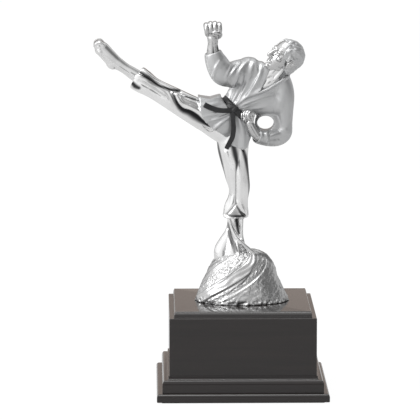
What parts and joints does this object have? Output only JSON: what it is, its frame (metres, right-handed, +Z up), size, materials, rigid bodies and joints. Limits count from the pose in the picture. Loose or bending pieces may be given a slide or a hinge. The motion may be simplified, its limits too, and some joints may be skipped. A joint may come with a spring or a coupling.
{
  "type": "figure trophy",
  "caption": "Silver martial-arts figure in a high side kick on a swirled rock, bolted to a stepped and moulded square base of dark lacquered wood.",
  "frame": {"origin": "centre of the felt underside of the base", "axes": "+Z up, the front of the base faces -Y, the kicking leg points towards -X"},
  "size_m": [0.1363, 0.1, 0.2186],
  "materials": {
    "lacquered_wood": "dark brown wenge veneer under high-gloss lacquer",
    "felt": "dark green felt",
    "steel": "zinc-plated steel",
    "brass": "plain turned brass",
    "bright_silver": "mirror-bright silver plating over cast metal",
    "satin_silver": "matt silver plating over cast metal",
    "black_paint": "black satin enamel"
  },
  "bodies": {
    "root": {"felt_pad": "felt", "foot_board": "lacquered_wood", "ogee_board": "lacquered_wood", "base_block": "lacquered_wood", "top_panel": "lacquered_wood", "base_stud": "steel", "stud_washer": "steel", "stud_nut": "steel", "mound_bush": "brass", "mound": "bright_silver", "leg_pin": "steel", "standing_foot": "bright_silver", "trousers": "bright_silver", "kicking_foot": "bright_silver", "waist_pin": "steel", "jacket_body": "satin_silver", "right_sleeve": "satin_silver", "left_sleeve": "satin_silver", "skirt_left_flap": "satin_silver", "skirt_right_flap": "satin_silver", "belt_band": "black_paint", "belt_knot": "black_paint", "belt_tail_flying": "black_paint", "belt_tail_hanging": "black_paint", "right_forearm": "bright_silver", "left_forearm": "bright_silver", "chest_neck": "bright_silver", "head": "bright_silver", "hair": "satin_silver"}
  },
  "joints": []
}
